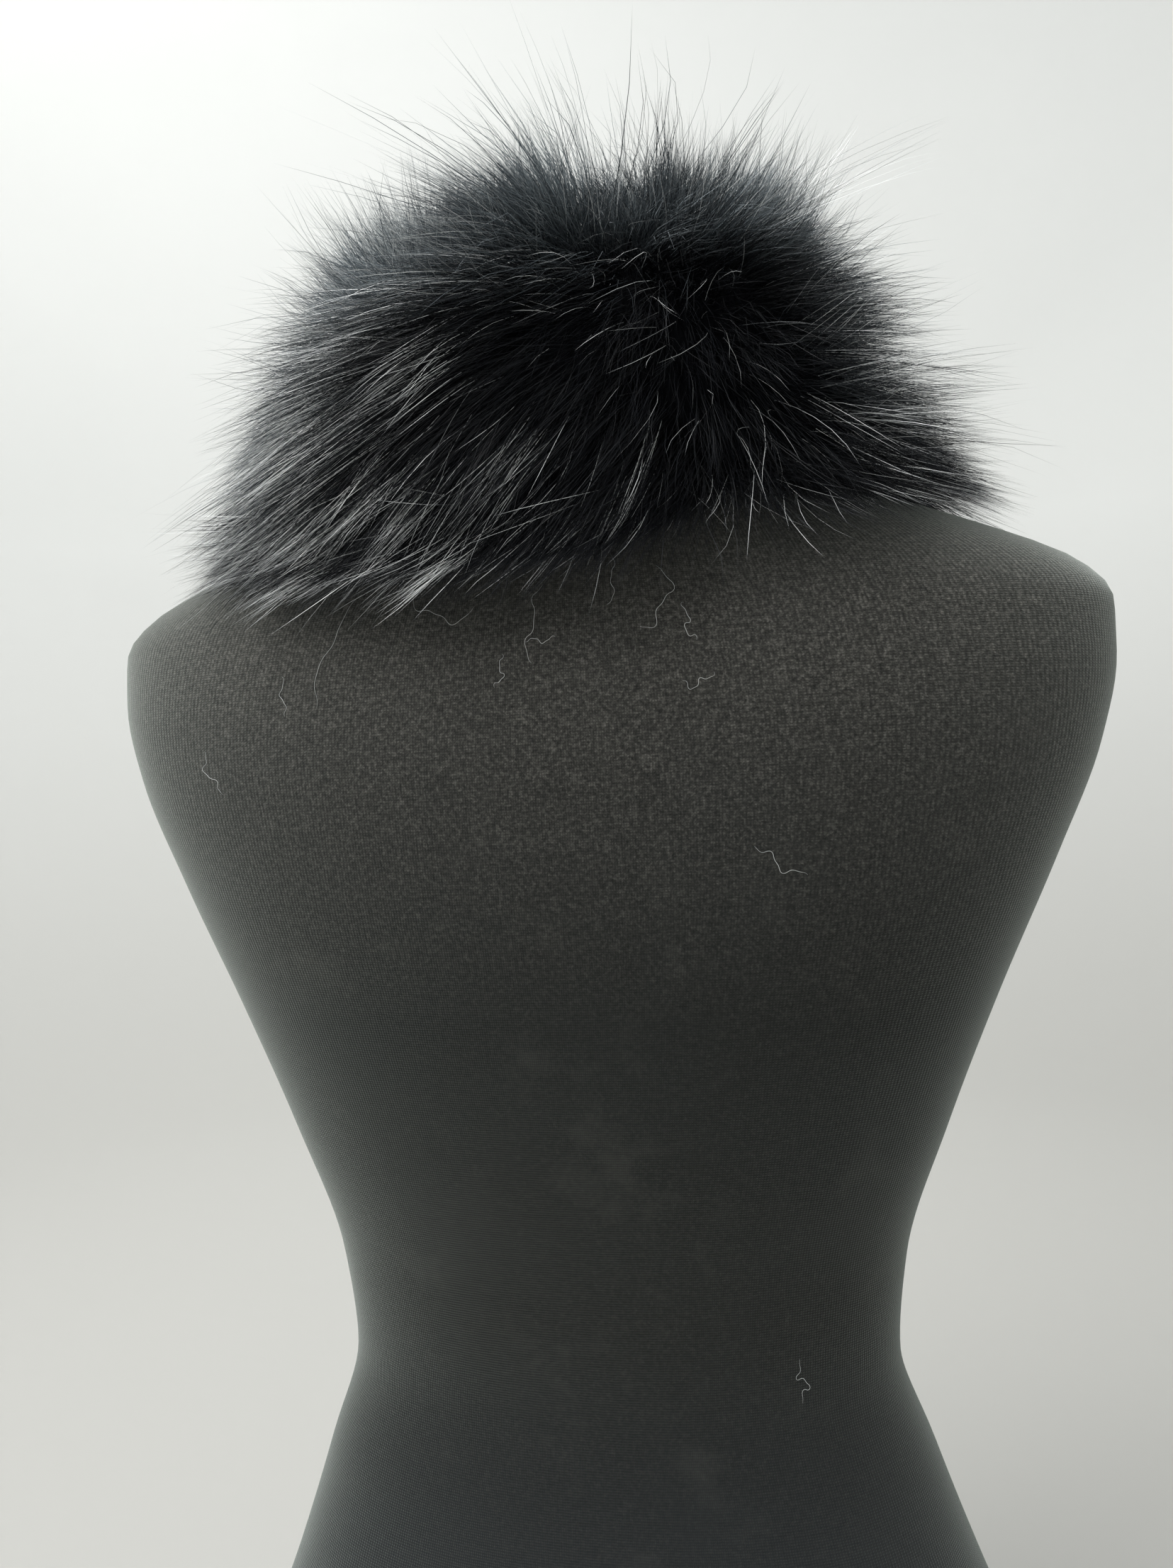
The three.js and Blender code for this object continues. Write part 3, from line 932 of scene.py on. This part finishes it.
def combed(azimuth, share):
    """How far round, in degrees, the hair lies away from the crown."""
    top = eased(share, CROWN_FROM, CROWN_TO)
    turn = from_join(azimuth) - (CROWN_TURN + (CROWN_TURN_AT_TOP - CROWN_TURN) * top)
    side = np.where(turn > 0, COMB_LEFT, COMB_RIGHT) * (1 - COMB_LOST_AT_TOP * top)
    fading = 1 - np.clip(np.abs(turn) / COMB_ENDS, 0, 1) ** 2
    below = 1 - eased(share, COMB_BELOW_FROM, COMB_BELOW_TO)
    sets_in = COMB_SETS_IN + (COMB_SETS_IN_BELOW - COMB_SETS_IN) * below
    return np.sign(turn) * side * growing(np.abs(turn), sets_in) * fading


def lying(azimuth, share):
    """How far up or, below the crown, down the hair lies, in shares of the strip's width."""
    over = share - CROWN_SHARE
    room = np.where(over > 0, 1 - share, share)
    way = np.where(over > 0, LIE_UP, -LIE_DOWN) * (1 - LIE_LOST_AT_SIDES * at_sides(azimuth))
    return way * growing(np.abs(over), LIE_SETS_IN) * growing(np.maximum(room, 0), LIE_EASES)


def more_reach(azimuth, share):
    """How much longer the hair is along the top, most behind, and on the two sides."""
    behind = np.exp(-(((azimuth - TOP_REACH_AZIMUTH) / TOP_REACH_SPREAD) ** 2))
    behind = behind * np.where(from_join(azimuth) > 0, TOP_REACH_LEFT_OF_JOIN, 1)
    top = TOP_REACH * behind * eased(share, TOP_REACH_FROM, TOP_REACH_TO)
    return 1 + top + SIDE_REACH * at_sides(azimuth)


def hem_reach(azimuth, share):
    """How much longer the lowest hair is, most over the right shoulder."""
    near = np.exp(-(((from_join(azimuth) - LONG_HEM_TURN) / LONG_HEM_SPREAD) ** 2))
    return 1 + (HEM_REACH + LONG_HEM_REACH * near) * (1 - eased(share, 0, HEM_FROM))


def silver_amount(azimuth, share):
    """How much of the fur is silver, from 0 to 1: most on the left, least at the middle of the back."""
    turn = from_join(azimuth)
    left = SILVER_LEFT * eased(turn, SILVER_LEFT_FROM, SILVER_LEFT_TO)
    right = SILVER_RIGHT * eased(-turn, SILVER_RIGHT_FROM, SILVER_RIGHT_TO)
    top = SILVER_TOP * eased(share, SILVER_TOP_FROM, SILVER_TOP_TO)
    return np.clip(SILVER_EVERYWHERE + left + right + top, 0, 1)


def painted_glow_amount(azimuth, share):
    """How much painted light the dark hair's tips get, from 0 to 1: along the top and far round the sides.
    """
    sides = eased(np.abs(from_join(azimuth) - HAZE_MIDDLE_TURN), HAZE_SIDES_FROM, HAZE_SIDES_TO)
    up = HAZE_AT_HEM + (1 - HAZE_AT_HEM) * eased(share, HAZE_HEM_ENDS, HAZE_FULL_FROM)
    return np.clip(HAZE_TOP * eased(share, HAZE_TOP_FROM, HAZE_TOP_TO) + sides * up, 0, MOST_HAZE)


def edge_crowded(chance):
    """Shares of the strip's width with more hair near its two edges, from even chances."""
    return np.clip(chance - EDGE_CROWDING * np.sin(2 * np.pi * chance) / (2 * np.pi), 0, 1)


def hair_curve(azimuth, share, comb, lie, reach):
    """Root, control point and tip of hairs, which stand up to an elbow and from there lie along the face.
    Comb and lie are added to the way that the fur lies. What a hair's reach has over 1 goes on past the
    face, up to the end of the room."""
    share = np.clip(share, 0, 1)
    root_radius, root_height = on_skin(azimuth, share)
    root = in_space(azimuth, root_radius, root_height)
    turn, rise = combed(azimuth, share) + comb, lying(azimuth, share) + lie
    bend_azimuth = azimuth + ELBOW_GOES * turn
    bend_radius, bend_height = on_face(bend_azimuth, np.clip(share + ELBOW_GOES * rise, 0, HIGHEST_TIP))
    bend = in_space(bend_azimuth, bend_radius, bend_height)
    elbow = (ELBOW + (ELBOW_AT_SIDES - ELBOW) * at_sides(azimuth))[:, None]
    tip_radius, tip_height = on_face(azimuth + turn, np.clip(share + rise, 0, HIGHEST_TIP))
    inward = INWARD_REACH * eased(share, INWARD_FROM, 1)
    tip = in_space(azimuth + turn, tip_radius - inward, tip_height)
    reach = (reach * hem_reach(azimuth, share) * more_reach(azimuth, share))[:, None]
    control = root + np.minimum(reach, 1) * elbow * (bend - root)
    last = tip - (root + elbow * (bend - root))
    length = np.linalg.norm(tip - root, axis=-1, keepdims=True)
    beyond = (reach - 1).clip(0) * length / np.linalg.norm(last, axis=-1, keepdims=True)
    last = (np.minimum(reach, 1) + beyond) * last
    room = np.array([ROOM_BEHIND, ROOM_ABOVE]) - control[:, 1:]
    over = last[:, 1:] > room
    fits = np.where(over, room / np.where(over, last[:, 1:], 1), 1)
    return root, control, control + fits.min(-1, keepdims=True) * last


def along(curve, t):
    """Points of curves at the shares t of their length: hairs, then steps."""
    root, control, tip = (part[:, None] for part in curve)
    t = t[None, :, None]
    return (1 - t) ** 2 * root + 2 * t * (1 - t) * control + t**2 * tip


def nearest_lock(azimuth, share, lock):
    """The number of the lock whose middle is nearest on the skin."""
    around = np.radians(azimuth[:, None] - lock["azimuth"]) * SKIN_RADIUS_MEAN
    across = (share[:, None] - lock["share"]) * PELT_WIDTH
    return (around**2 + across**2).argmin(1)


def keep_clear(points, gap):
    """Hair points pushed out of the form, where they are below its top."""
    azimuth = np.degrees(np.arctan2(points[..., 0], points[..., 1]))
    radius = np.hypot(points[..., 0], points[..., 1])
    height = points[..., 2]
    clear = clear_of_form(azimuth, radius, np.minimum(height, FORM_TOP), gap, 3)
    beside = height < FORM_TOP
    return in_space(azimuth, np.where(beside, clear[0], radius), np.where(beside, clear[1], height))


def lay_locks(index):
    """The locks of a stretch, the same for each kind of hair."""
    rng = np.random.default_rng([index, 99])
    count = LOCKS_PER_STRETCH
    return dict(
        azimuth=JOIN_AZIMUTH + STRETCH_ANGLE * (index + rng.random(count)),
        share=rng.random(count),
        comb=rng.normal(0, LOCK_COMB_STRAY, count),
        lie=rng.normal(0, LOCK_LIE_STRAY, count),
        reach=rng.uniform(*LOCK_REACH, count),
        hold=rng.uniform(*LOCK_HOLD, count),
        shade=rng.normal(0, LOCK_SHADE_STRAY, count),
        rich=rng.random(count) > 1 - RICH_LOCKS,
    )


def plant_wisps(rng, index, lock, facts, silver):
    """Places, combing and reach of a stretch's wisps. Silver ones stand where the fur is silver, mostly in
    the rich locks, and include the tufts that stand out."""
    start = JOIN_AZIMUTH + STRETCH_ANGLE * index
    count = facts["wisps"]
    azimuth = start + STRETCH_ANGLE * rng.random(4 * count)
    share = edge_crowded(rng.random(4 * count))
    if silver:
        rich = lock["rich"][nearest_lock(azimuth, share, lock)]
        silvered = silver_amount(azimuth, share) * np.where(rich, 1, SILVER_IN_OTHER_LOCKS)
        kept = rng.random(4 * count) < silvered
        count = int(min(count, kept.sum()))
        azimuth, share = azimuth[kept], share[kept]
    azimuth, share = azimuth[:count], share[:count]
    mine = nearest_lock(azimuth, share, lock)
    low, high = facts["reach"]
    longest = facts["longest"] + LONGER_AT_TOP * eased(share, LONGER_FROM, LONGER_TO)
    usual = low + (high - low) * rng.random(count) ** EVERY_REACH_POWER
    longer = high + (longest - high) * rng.random(count)
    reach = np.where(rng.random(count) < facts["long_share"], longer, usual) * lock["reach"][mine]
    most = rng.uniform(*facts["most"], count) / (hem_reach(azimuth, share) * more_reach(azimuth, share))
    wisp = dict(
        azimuth=azimuth,
        share=share,
        comb=lock["comb"][mine] + rng.normal(0, facts["comb_stray"], count),
        lie=lock["lie"][mine] + rng.normal(0, facts["lie_stray"], count),
        reach=np.minimum(reach, most),
        pull=lock["hold"][mine] * rng.uniform(*WISP_PULL, count),
        shade=lock["shade"][mine] + rng.normal(0, WISP_SHADE_STRAY, count),
    )
    if silver:
        tufts = plant_tufts(rng, index)
        wisp = {key: np.concatenate([wisp[key], tufts[key]]) for key in wisp}
    return wisp


def plant_tufts(rng, index):
    """The tufts that stand out in a stretch, as wisps that lie from their roots to the places given."""
    here = np.floor(np.mod(from_join(TUFTS["azimuth"]), 360) / STRETCH_ANGLE) == index
    rows = np.repeat(np.flatnonzero(here), TUFTS["wisps"][here].astype(int))
    tuft = {key: column[rows] for key, column in TUFTS.items()}
    size = len(rows)
    azimuth = tuft["azimuth"] + rng.normal(0, TUFT_ROOT_STRAY[0], size)
    share = tuft["share"] + rng.normal(0, TUFT_ROOT_STRAY[1], size)
    comb = tuft["to_azimuth"] - tuft["azimuth"] - combed(azimuth, share)
    lie = tuft["to_share"] - tuft["share"] - lying(azimuth, share)
    return dict(
        azimuth=azimuth,
        share=share,
        comb=comb + rng.normal(0, TUFT_TIP_STRAY[0], size),
        lie=lie + rng.normal(0, TUFT_TIP_STRAY[1], size),
        reach=tuft["reach"] * rng.uniform(*TUFT_LENGTH, size),
        pull=np.zeros(size),
        shade=np.full(size, TUFT_SHADE),
    )


def wave_along(rng, count, t, size, waves):
    """A gentle wave along each path in a random direction, growing towards its tip."""
    phase = rng.uniform(0, 2 * np.pi, (count, 1, 1))
    direction = rng.normal(0, 1, (count, 1, 3))
    growing_out = (t**WAVE_POWER)[None, :, None]
    return size * direction * np.sin(2 * np.pi * waves * t[None, :, None] + phase) * growing_out


def draw_paths(rng, lock, wisp, facts, t):
    """Each hair's points: its own curve, drawn to its wisp's, and moved as that is drawn to its lock's."""
    wisps, each = len(wisp["azimuth"]), facts["hairs"]
    mine = nearest_lock(wisp["azimuth"], wisp["share"], lock)
    lies = ("azimuth", "share", "comb", "lie")
    wisp_path = along(hair_curve(*(wisp[key] for key in lies), wisp["reach"]), t)
    lock_path = along(hair_curve(*(lock[key] for key in lies), facts["reach"][1] * lock["reach"]), t)
    shift = wisp["pull"][:, None, None] * (t**PULL_POWER)[None, :, None] * (lock_path[mine] - wisp_path)
    shift = shift + wave_along(rng, wisps, t, facts["wave"], facts["waves"])

    owner = np.repeat(np.arange(wisps), each)
    hairs = len(owner)
    spread = facts["spread"]
    azimuth = wisp["azimuth"][owner] + np.degrees(rng.normal(0, spread, hairs) / SKIN_RADIUS_MEAN)
    share = np.clip(wisp["share"][owner] + rng.normal(0, spread, hairs) / PELT_WIDTH, 0, 1)
    comb = wisp["comb"][owner] + rng.normal(0, HAIR_COMB_STRAY, hairs)
    lie = wisp["lie"][owner] + rng.normal(0, HAIR_LIE_STRAY, hairs)
    reach = wisp["reach"][owner] * rng.uniform(*HAIR_LENGTH, hairs)
    path = along(hair_curve(azimuth, share, comb, lie, reach), t)
    hold = (facts["hold"] * rng.uniform(*HAIR_HOLD, hairs)).clip(0, MOST_HOLD)
    hold = hold[:, None, None] * (t**HOLD_POWER)[None, :, None]
    path = path + shift[owner] + hold * (wisp_path[owner] - path)
    path = path + wave_along(rng, hairs, t, OWN_WAVE_SIZE * facts["wave"], OWN_WAVES * facts["waves"])
    return keep_clear(path, HAIR_OFF_FORM), owner, azimuth, share


def ribbons(rng, path, width):
    """Points and faces of flat hairs that taper along their paths and end in a point."""
    hairs, count, _ = path.shape
    steps = count - 1
    tangent = np.gradient(path, axis=1)
    outward = path.mean(1) * FACING_OUTWARD
    outward = outward / np.linalg.norm(outward, axis=-1, keepdims=True)
    facing = outward + rng.normal(0, FACING_STRAY, (hairs, 3))
    across = np.cross(tangent, facing[:, None])
    across /= np.linalg.norm(across, axis=-1, keepdims=True) + 1e-12
    taper = (1 - HAIR_TAPER * np.linspace(0, 1, count) ** TAPER_POWER)[None, :-1, None]
    half = 0.5 * width * rng.uniform(*HAIR_WIDTH, (hairs, 1, 1)) * taper
    pairs = np.stack([path[:, :-1] - across[:, :-1] * half, path[:, :-1] + across[:, :-1] * half], 2)
    points = np.concatenate([pairs.reshape(hairs, 2 * steps, 3), path[:, -1:]], axis=1)
    first = (np.arange(hairs) * (2 * steps + 1))[:, None]
    a = first + 2 * np.arange(steps - 1)[None]
    quads = np.stack([a, a + 1, a + 3, a + 2], -1).reshape(-1, 4)
    tips = first + 2 * (steps - 1) + np.arange(3)[None]
    return points, [quads, tips]


def shade_chart(shade, t):
    """The hairs' map: across by shade, in narrow cells, and up from root to tip."""
    steps = len(t) - 1
    cell = (np.clip(shade, 0, 0.999) * HAIR_SHADES).astype(int)
    edge = (cell[:, None] + np.array([0.25, 0.75])) / HAIR_SHADES
    u = np.concatenate([np.tile(edge, (1, steps)), edge.mean(1, keepdims=True)], 1)
    v = np.concatenate([np.repeat(t[:-1], 2), t[-1:]])[None] + 0 * u
    return np.stack([u, v], -1).reshape(-1, 2)


def make_hair(kind, material, name, index):
    """One kind of hair over one stretch, as tapering flat ribbons."""
    facts = HAIR_KINDS[kind]
    rng = np.random.default_rng([index, list(HAIR_KINDS).index(kind)])
    silver = kind == "silver_hair"
    lock = lay_locks(index)
    wisp = plant_wisps(rng, index, lock, facts, silver)
    t = np.linspace(facts["start"], 1, facts["steps"] + 1)
    path, owner, azimuth, share = draw_paths(rng, lock, wisp, facts, t)
    points, faces = ribbons(rng, path, facts["width"])
    spread = wisp["shade"][owner] + rng.normal(0, SHADE_STRAY, len(owner))
    if kind in ("silver_hair", "loose_hair"):
        shade = SILVER_SHADE + SILVER_SHADE_GAIN * silver_amount(azimuth, share)
        shade = shade + SILVER_SHADE_SPREAD * spread
    else:
        # Dark hair: painted light on its tips along the top and sides, and a little tone that differs at
        # random
        painted_glow = painted_glow_amount(azimuth, share) * (HAZE_SHADE + HAZE_SHADE_SPREAD * spread)
        shade = painted_glow + DARK_SHADE_SPREAD * np.abs(spread)
    chart = shade_chart(shade, t)
    return make_mesh(f"{kind}_{name}", points.reshape(-1, 3), faces, material, "OFBake", chart)


# Shed hairs on the cover. Each starts at a place and runs by a heading, in degrees down from the way towards
# the form's left. It bends by bend degrees over its length and wiggles by wiggle degrees.
SHED_HAIRS = table(
    "azimuth height heading bend wiggle length",
    [
        (40.7, 0.551, 62, 30, 16, 0.042),
        (31.0, 0.551, 125, 80, 24, 0.042),
        (-0.4, 0.549, 58, 40, 40, 0.034),
        (9.0, 0.526, 120, -70, 60, 0.018),
        (4.0, 0.530, 168, 20, 30, 0.018),
        (-16.5, 0.558, 95, -30, 36, 0.022),
        (-25.6, 0.553, 120, -120, 40, 0.036),
        (-30.0, 0.539, 60, 60, 60, 0.020),
        (50.6, 0.524, 92, 20, 30, 0.016),
        (-37.7, 0.461, 130, 30, 40, 0.024),
        (-55.8, 0.279, 135, -60, 70, 0.026),
        (-27.5, 0.514, 150, 90, 50, 0.018),
        (62.0, 0.500, 80, 60, 40, 0.020),
    ],
)
SHED_STEPS = 36
SHED_RADIUS = 0.00008
SHED_OFF_FORM = 0.0003
SHED_RADIUS_MEAN = 0.13
SHED_WIGGLES = (1.7, 4.1)
QUICK_WIGGLE = 0.6
SHED_END = 0.02
SHED_TAPER_POWER = 0.4
SHED_SHADE = 0.85
SHED_UP_HAIR = (0.6, 0.9)


def make_shed_hairs():
    """Shed hairs that lie curled on the cover, each a thin three-sided tube that ends in points."""
    rng = np.random.default_rng(21)
    t = np.linspace(0, 1, SHED_STEPS)
    paths = []
    for azimuth, height, heading, bend, wiggle, length in zip(*SHED_HAIRS.values()):
        slow, quick = (np.sin(2 * np.pi * (wiggles * t + rng.random())) for wiggles in SHED_WIGGLES)
        direction = np.radians(heading + bend * t + wiggle * (slow + QUICK_WIGGLE * quick))
        around = np.cumsum(np.cos(direction)) * length / SHED_STEPS
        turn = azimuth + np.degrees(around / SHED_RADIUS_MEAN)
        level = height - np.cumsum(np.sin(direction)) * length / SHED_STEPS
        radius, level = clear_of_form(turn, form_radius(turn, level), level, SHED_OFF_FORM)
        paths.append(in_space(turn, radius, level))
    path = np.stack(paths)
    tangent = np.gradient(path, axis=1)
    tangent /= np.linalg.norm(tangent, axis=-1, keepdims=True)
    up = np.cross(tangent, path * np.array([1, 1, 0]))
    up /= np.linalg.norm(up, axis=-1, keepdims=True)
    over = np.cross(up, tangent)
    round_ends = np.sin(np.pi * np.clip(t, SHED_END, 1 - SHED_END)) ** SHED_TAPER_POWER
    thick = (SHED_RADIUS * round_ends)[None, :, None, None]
    corner = 2 * np.pi * np.arange(3)[:, None] / 3
    rings = path[:, :, None] + thick * (up[:, :, None] * np.cos(corner) + over[:, :, None] * np.sin(corner))
    first = 3 * SHED_STEPS * np.arange(len(path))
    sides = [grid_faces(SHED_STEPS, 3, start, wrap=True)[:, ::-1] for start in first]
    ends = np.concatenate([first[:, None] + [0, 1, 2], first[:, None] + 3 * (SHED_STEPS - 1) + [0, 2, 1]])
    up_hair = np.linspace(*SHED_UP_HAIR, SHED_STEPS)[None, :, None] + 0 * rings[..., 0]
    chart = np.stack([np.full(rings.shape[:3], SHED_SHADE), up_hair], -1).reshape(-1, 2)
    return make_mesh("shed_hairs", rings.reshape(-1, 3), sides + [ends], SILVER_HAIR, "OFBake", chart)


form_cover = make_form_cover()
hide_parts("dress_form")
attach(form_cover, "root")
shed_hairs = make_shed_hairs()
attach(shed_hairs, "root")

MATERIALS = {
    "underfur": UNDERFUR,
    "guard_hair": GUARD_HAIR,
    "silver_hair": SILVER_HAIR,
    "loose_hair": SILVER_HAIR,
}
for stretch, number in STRETCHES.items():
    undercoat = make_undercoat(stretch, number)
    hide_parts(f"collar_{stretch}")
    coat = [undercoat]
    for kind in HAIR_KINDS:
        coat.append(make_hair(kind, MATERIALS[kind], stretch, number))
    for piece in coat:
        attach(piece, "root")
    pelt, cut_area = make_pelt(stretch, number)
    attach(pelt, "root")


# Stage: a floor that curves up into a round wall
FLOOR_RADIUS = 1.3
COVE_RADIUS = 1.1
WALL_HEIGHT = 4.5
FLOOR_BELOW = 0.0002
FLOOR_HUB = 0.02
FLOOR_RINGS = 12
COVE_RINGS = 25
STAGE_COLUMNS = 128


def make_stage():
    """A flat floor, a quarter circle and an upright wall, turned round the object."""
    bend = np.linspace(0, np.pi / 2, COVE_RINGS)
    floor = np.linspace(FLOOR_HUB, FLOOR_RADIUS, FLOOR_RINGS)[:-1]
    cove = FLOOR_RADIUS + COVE_RADIUS * np.sin(bend)
    radius = np.concatenate([floor, cove, [FLOOR_RADIUS + COVE_RADIUS]])
    rise = COVE_RADIUS * (1 - np.cos(bend))
    height = np.concatenate([0 * floor, rise, [WALL_HEIGHT]]) - FLOOR_BELOW
    azimuth = np.linspace(0, 360, STAGE_COLUMNS, endpoint=False)
    column, ring = np.meshgrid(azimuth, radius)
    points = in_space(column, ring, height[:, None] + 0 * ring).reshape(-1, 3)
    middle = len(points)
    points = np.concatenate([points, [[0, 0, height[0]]]])
    j = np.arange(STAGE_COLUMNS)
    faces = grid_faces(len(radius), STAGE_COLUMNS, wrap=True)
    hub = np.stack([(j + 1) % STAGE_COLUMNS, j, np.full(STAGE_COLUMNS, middle)], -1)
    return make_mesh("backdrop", points, [faces, hub], STAGE)


make_stage()


# Light and camera
def add_light(name, place, aim, size, power, colour=(1, 1, 1)):
    """A soft square light that the camera doesn't see."""
    data = bpy.data.lights.new(name, "AREA")
    data.shape, data.size, data.energy, data.color = "SQUARE", size, power, colour
    light = bpy.data.objects.new(name, data)
    bpy.context.scene.collection.objects.link(light)
    light.location = place
    from_to = np.array(aim, float) - np.array(place, float)
    yaw = math.atan2(from_to[1], from_to[0]) - math.pi / 2
    pitch = math.atan2(from_to[2], math.hypot(from_to[0], from_to[1])) + math.pi / 2
    light.rotation_euler = Euler((pitch, 0, yaw))
    light.visible_camera = False
    return light


add_light("key", (0.8, 1.0, 1.9), (0, 0, 0.6), 1.0, 22, (1.0, 0.995, 0.98))
add_light("overhead", (0.4, 0.2, 2.0), (0, 0, 0.6), 0.8, 14, (1.0, 1.0, 0.99))
add_light("back light", (0.6, -1.3, 1.9), (0, 0, 0.6), 0.9, 11, (0.98, 1.0, 0.99))
add_light("wall light", (0.85, -0.7, 2.6), (0.45, -2.3, 1.7), 1.6, 25, (1.0, 1.0, 0.99))

world = bpy.data.worlds.new("soft room")
world.use_nodes = True
world.node_tree.nodes["Background"].inputs["Color"].default_value = (0.93, 0.96, 1.0, 1)
world.node_tree.nodes["Background"].inputs["Strength"].default_value = 0.24
bpy.context.scene.world = world
bpy.context.scene.view_settings.view_transform = "Standard"

CAMERA_PLACE = (-0.0865, 0.4585, 0.4907)
CAMERA_YAW = 191.18
CAMERA_TILT = -1.24
CAMERA_ROLL = -2.64
LENS = 27.02

camera_data = bpy.data.cameras.new("camera")
camera_data.lens = LENS
camera_data.sensor_width = 36
camera_data.clip_start = 0.01
camera = bpy.data.objects.new("camera", camera_data)
bpy.context.scene.collection.objects.link(camera)
camera.matrix_world = (
    Matrix.Translation(CAMERA_PLACE)
    @ Matrix.Rotation(math.radians(CAMERA_YAW), 4, "Z")
    @ Matrix.Rotation(math.radians(90 + CAMERA_TILT), 4, "X")
    @ Matrix.Rotation(math.radians(CAMERA_ROLL), 4, "Z")
)
bpy.context.scene.camera = camera
